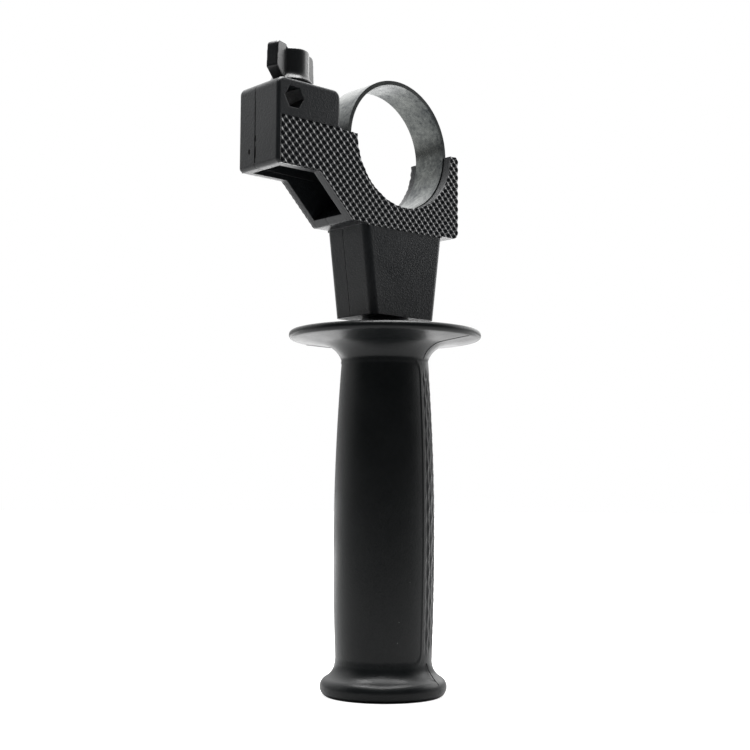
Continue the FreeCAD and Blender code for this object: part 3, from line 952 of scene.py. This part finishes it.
@dataclass
class Screws:
    """The housing screws with a cross recess in each head."""

    recess_depth: float = 1.5
    recess_reach: float = 1.75
    recess_width: float = 0.75
    recess_turn: float = 20.0
    recess_taper: tuple[float, float, float] = (0.35, 0.8, 1.0)

    def build(self, node: str, finish: bpy.types.Material) -> bpy.types.Object:
        """Model one screw and let it stand for the CAD node.

        Args:
            node: The CAD node.
            finish: Its plating.

        Returns:
            The piece.
        """
        loose = loose_object(merged_copy(node), "screw_block")
        high = max(vert.co.y for vert in loose.data.vertices)
        heads = [vert.co for vert in loose.data.vertices if abs(vert.co.y - high) < 1e-5]
        x = (min(co.x for co in heads) + max(co.x for co in heads)) / 2
        z = (min(co.z for co in heads) + max(co.z for co in heads)) / 2
        bm = bmesh.new()
        for turn in (self.recess_turn, self.recess_turn + 90.0):
            made = bmesh.ops.create_cube(bm, size=1.0)
            tip = [vert for vert in made["verts"] if vert.co.z < 0]
            bmesh.ops.scale(bm, verts=tip, vec=self.recess_taper)
            bmesh.ops.scale(bm, verts=made["verts"], vec=Vector((
                2 * self.recess_reach, self.recess_width, 2 * self.recess_depth)) * MM)
            bmesh.ops.rotate(bm, verts=made["verts"],
                             matrix=Matrix.Rotation(math.radians(turn), 3, "Z"))
        bmesh.ops.rotate(bm, verts=bm.verts, matrix=Matrix.Rotation(math.radians(-90), 3, "X"))
        bmesh.ops.translate(bm, verts=bm.verts, vec=(x, high, z))
        cutter = loose_object(bm, "cross")
        cut = loose.modifiers.new("recess", "BOOLEAN")
        cut.operation, cut.solver, cut.object = "DIFFERENCE", "EXACT", cutter
        cut.use_self = True
        piece = finish_mesh(evaluated_bmesh(loose, cutter), f"{node}_head", "bracket", finish,
                            30)
        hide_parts(node)
        return piece


@dataclass
class Bracket:
    """The two shells of the bracket and the screws that join them."""

    textures: DiamondTexture
    screws: Screws

    def dress(self, plastic: bpy.types.Material, glossy: bpy.types.Material,
              steel: bpy.types.Material) -> None:
        """Dress the shells and the screws.

        Args:
            plastic: The shells' plastic.
            glossy: The plastic of their texture.
            steel: The screws' plating.
        """
        for node in ("front_housing", "rear_housing"):
            dress_node(node, plastic)
        for node in sorted(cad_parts):
            if node.startswith("housing_screw"):
                self.screws.build(node, steel)
        self.textures.build(Side.FRONT, "front_housing", glossy)
        self.textures.build(Side.REAR, "rear_housing", glossy)


@dataclass(frozen=True)
class Ribbon:
    """One dark mark on the left face of the box, in millimetres: the joint's dark line, or
    painted shade in a gap or at a dented spot.
    """

    name: str
    aside: float
    low: float
    high: float
    width: float


@dataclass
class Seam:
    """The joint between the shells on the left of the box, with painted shade where it gapes and
    at a dented spot beside it.
    """

    joint_y: float = 1.68
    reach: float = 0.006
    depth: float = 0.3
    step: float = 0.75
    ray_start: float = -100.0
    ray_aside: float = 0.6
    tip_share: float = 0.25
    tip_slope: float = 4.0
    ribbons: tuple[Ribbon, ...] = (
        Ribbon("joint_line", aside=-0.1, low=167.5, high=196.2, width=0.5),
        # The two gaps and the dented spot are dark ribbons of painted shade, laid flush with the
        # face; the joint line is the joint's own dark line.
        Ribbon("joint_gap_upper_shade", aside=-0.2, low=179.3, high=181.9, width=0.95),
        Ribbon("joint_gap_lower_shade", aside=-0.2, low=173.8, high=178.5, width=0.95),
        Ribbon("dent_shade", aside=2.9, low=176.0, high=177.8, width=1.0))

    def _lay(self, surface: BVHTree, ribbon: Ribbon, finish: bpy.types.Material) -> None:
        """Lay a dark ribbon with pointed ends on the box's left face.

        Args:
            surface: The front shell.
            ribbon: The ribbon's name, its place beside the joint, its ends and its width.
            finish: Its material.
        """
        bm = bmesh.new()
        rings = []
        length = ribbon.high - ribbon.low
        count = max(4, round(length / self.step))
        for index in range(count + 1):
            share = index / count
            z = ribbon.low + length * share
            start = Vector((self.ray_start, self.joint_y - self.ray_aside, z)) * MM
            hit = surface.ray_cast(start, Vector((1, 0, 0)))[0]
            half = ribbon.width / 2 * min(1.0, self.tip_share + self.tip_slope * share,
                                          self.tip_share + self.tip_slope * (1 - share))
            outer, inner = hit.x / MM - self.reach, hit.x / MM + self.depth
            corners = ((outer, -half), (outer, half), (inner, half), (inner, -half))
            rings.append([bm.verts.new(Vector((x, self.joint_y + ribbon.aside + y, z)) * MM)
                          for x, y in corners])
        close_tube(bm, rings)
        finish_mesh(bm, ribbon.name, "bracket", finish, 30)

    def build(self, finish: bpy.types.Material) -> None:
        """Lay the joint's dark line, and ribbons of painted shade for the two gaps in it and for
        a small dented spot beside it.

        Args:
            finish: The dark of the line, and the painted shade of the gaps and the dented spot.
        """
        shell = merged_copy("front_housing")
        surface = BVHTree.FromBMesh(shell)
        shell.free()
        for ribbon in self.ribbons:
            self._lay(surface, ribbon, finish)


@dataclass(frozen=True)
class SoftBox:
    """One square lamp that points at the handle; lengths in metres."""

    name: str
    place: tuple[float, float, float]
    size: float
    watts: float


@dataclass
class Studio:
    """Pale floor, soft lights, world and the camera at the photograph's place."""

    camera_place: tuple[float, float, float] = (-0.3013, -0.3299, 0.0679)
    camera_azimuth: float = 41.98
    camera_pitch: float = 5.117
    camera_roll: float = 0.324
    lens: float = 62.66
    sensor: float = 36.0
    clip: Span = (0.01, 20.0)
    floor_radius: float = 4.0
    floor_roughness: float = 0.6
    floor_specular: float = 0.2
    floor_near: Span = (-0.4, -0.15)
    floor_tone: Span = (0.08, 0.45)
    floor_lift: float = 0.85
    floor_far: Span = (0.2, 0.6)
    floor_glow: float = 2.0
    front_span: Span = (-0.6, 0.25)
    front_level: float = 0.03
    height_span: Span = (-0.05, 0.7)
    horizon_level: float = 0.22
    sky_level: float = 2.2
    aim: tuple[float, float, float] = (0.0, 0.0, 0.12)
    lamps: tuple[SoftBox, ...] = (
        SoftBox("above", (0.0, 0.05, 1.25), size=0.9, watts=42.0),
        SoftBox("right", (1.05, -0.3, 0.6), size=0.45, watts=2.3),
        SoftBox("back left", (-0.9, 0.9, 0.6), size=0.5, watts=0.6),
        SoftBox("back right", (1.1, 0.35, 0.5), size=0.5, watts=1.5))

    def _heading(self, tree: bpy.types.NodeTree, place: bpy.types.NodeSocket,
                 sign: int) -> bpy.types.NodeSocket:
        """Measure a place along the camera's heading over the floor.

        Args:
            tree: The node tree.
            place: The output that gives the place.
            sign: 1 counts away from the camera and -1 towards it.

        Returns:
            The output that gives the measure.
        """
        azimuth = math.radians(self.camera_azimuth)
        dot = add_node(tree, "ShaderNodeVectorMath", operation="DOT_PRODUCT")
        dot.inputs[1].default_value = (sign * math.sin(azimuth), sign * math.cos(azimuth), 0.0)
        tree.links.new(place, dot.inputs[0])
        return dot.outputs["Value"]

    def _lit_or_seen(self, tree: bpy.types.NodeTree,
                     lit: bpy.types.NodeSocket) -> bpy.types.Node:
        """Choose between what lights the handle and what the camera sees.

        Args:
            tree: The node tree.
            lit: The output that gives the strength of the light.

        Returns:
            The mix node, whose second value is what the camera sees.
        """
        rays = add_node(tree, "ShaderNodeLightPath")
        pick = add_node(tree, "ShaderNodeMix", data_type="FLOAT")
        tree.links.new(rays.outputs["Is Camera Ray"], pick.inputs["Factor"])
        tree.links.new(lit, pick.inputs[VALUE_LOW])
        return pick

    def camera(self) -> None:
        """Stand the camera where the photograph was taken from."""
        data = bpy.data.cameras.new("photograph")
        data.lens, data.sensor_width = self.lens, self.sensor
        data.clip_start, data.clip_end = self.clip
        camera = bpy.data.objects.new("photograph", data)
        turn = (Matrix.Rotation(math.radians(-self.camera_azimuth), 4, "Z")
                @ Matrix.Rotation(math.radians(90 + self.camera_pitch), 4, "X")
                @ Matrix.Rotation(math.radians(self.camera_roll), 4, "Z"))
        camera.matrix_world = Matrix.Translation(self.camera_place) @ turn
        bpy.context.scene.collection.objects.link(camera)
        bpy.context.scene.camera = camera

    def floor(self) -> None:
        """Lay the pale floor, white to the camera but for the object's shadow."""
        bm = bmesh.new()
        bmesh.ops.create_circle(bm, cap_ends=True, segments=64, radius=self.floor_radius)
        mesh = bpy.data.meshes.new("floor")
        bm.to_mesh(mesh)
        bm.free()
        made, tree, shader = material("floor")
        shader.inputs["Roughness"].default_value = self.floor_roughness
        shader.inputs["Specular IOR Level"].default_value = self.floor_specular
        shader.inputs["Emission Color"].default_value = (1.0, 1.0, 1.0, 1.0)
        link = tree.links.new
        place = add_node(tree, "ShaderNodeTexCoord")
        beyond = self._heading(tree, place.outputs["Object"], 1)
        link(ramp(tree, beyond, self.floor_near, self.floor_tone), shader.inputs["Base Color"])
        pick = self._lit_or_seen(tree, ramp(tree, beyond, self.floor_far, (0.0, self.floor_glow)))
        link(ramp(tree, beyond, self.floor_near, (1.0, self.floor_lift)),
             pick.inputs[VALUE_HIGH])
        link(pick.outputs[0], shader.inputs["Emission Strength"])
        mesh.materials.append(made)
        floor = bpy.data.objects.new("floor", mesh)
        bpy.context.scene.collection.objects.link(floor)

    def world(self) -> None:
        """White surroundings that are dimmer on the camera's side."""
        world = bpy.data.worlds.new("studio")
        bpy.context.scene.world = world
        world.use_nodes = True
        tree = world.node_tree
        link = tree.links.new
        ground = tree.nodes["Background"]
        place = add_node(tree, "ShaderNodeTexCoord")
        toward = self._heading(tree, place.outputs["Generated"], -1)
        split = add_node(tree, "ShaderNodeSeparateXYZ")
        link(place.outputs["Generated"], split.inputs[0])
        level = add_node(tree, "ShaderNodeMath", operation="MULTIPLY")
        link(ramp(tree, toward, self.front_span, (1.0, self.front_level)), level.inputs[0])
        link(ramp(tree, split.outputs["Z"], self.height_span,
                  (self.horizon_level, self.sky_level)), level.inputs[1])
        pick = self._lit_or_seen(tree, level.outputs[0])
        pick.inputs[VALUE_HIGH].default_value = 1.0
        link(pick.outputs[0], ground.inputs["Strength"])
        ground.inputs["Color"].default_value = (1.0, 1.0, 1.0, 1.0)

    def lights(self) -> None:
        """Hang soft boxes above, to the left and to the right."""
        for box in self.lamps:
            data = bpy.data.lights.new(box.name, "AREA")
            data.size, data.energy = box.size, box.watts
            lamp = bpy.data.objects.new(box.name, data)
            lamp.location = box.place
            way = Vector(self.aim) - Vector(box.place)
            lamp.rotation_mode = "QUATERNION"
            lamp.rotation_quaternion = way.to_track_quat("-Z", "Y")
            bpy.context.scene.collection.objects.link(lamp)

    def build(self) -> None:
        """Set up everything but the handle."""
        self.camera()
        self.floor()
        self.world()
        self.lights()
        bpy.context.scene.view_settings.view_transform = "Standard"


def main() -> None:
    """Build the studio and the handle, piece by piece."""
    logging.basicConfig(level=logging.INFO, format="%(name)s %(message)s")
    Studio().build()
    effects = SurfaceEffects()
    housing = MouldedFinish("housing plastic", (0.0095, 0.011, 0.0125), roughness=(0.28, 0.42),
                            specular=0.34, grain_scale=1700.0, grain_height=0.00012,
                            edge_radius=0.0004).build(effects)
    texture = MouldedFinish("texture plastic", (0.008, 0.009, 0.0105), roughness=(0.15, 0.22),
                            grain_height=0.0, edge_radius=0.00005).build(effects)
    knob = MouldedFinish("knob plastic", (0.009, 0.010, 0.011), roughness=(0.25, 0.35),
                         specular=0.4, edge_radius=0.0001).build(effects)
    rubber = MouldedFinish("grip rubber", (0.004, 0.005, 0.0055), roughness=(0.3, 0.42),
                           specular=0.28, grain_scale=1500.0, grain_height=0.00006,
                           speck_share=0.35, edge_radius=0.0001).build(effects)
    shadow = MouldedFinish("joint shadow", (0.002, 0.002, 0.002), roughness=(0.8, 0.9),
                           specular=0.1, speck_share=0.0).build(effects)
    strip = StripSteel().build()
    zinc = PlatedMetal("zinc plating", (0.52, 0.52, 0.5)).build()
    blued = PlatedMetal("blued steel", (0.06, 0.062, 0.065)).build()
    brass = PlatedMetal("turned brass", (0.6, 0.46, 0.22)).build()
    Bracket(DiamondTexture(), Screws()).dress(housing, texture, zinc)
    Seam().build(shadow)
    grip = Grip()
    grip.build(rubber)
    grip.build_parting_lines(rubber)
    Knob().build(knob)
    dress_node("clamp_band", strip)
    dress_node("knob_insert", brass)
    for node in ("clamp_bolt", "clamp_stud", "grip_nut"):
        dress_node(node, zinc)
    for node in ("thrust_washer", "knob_washer"):
        dress_node(node, blued)


if __name__ == "__main__":
    main()
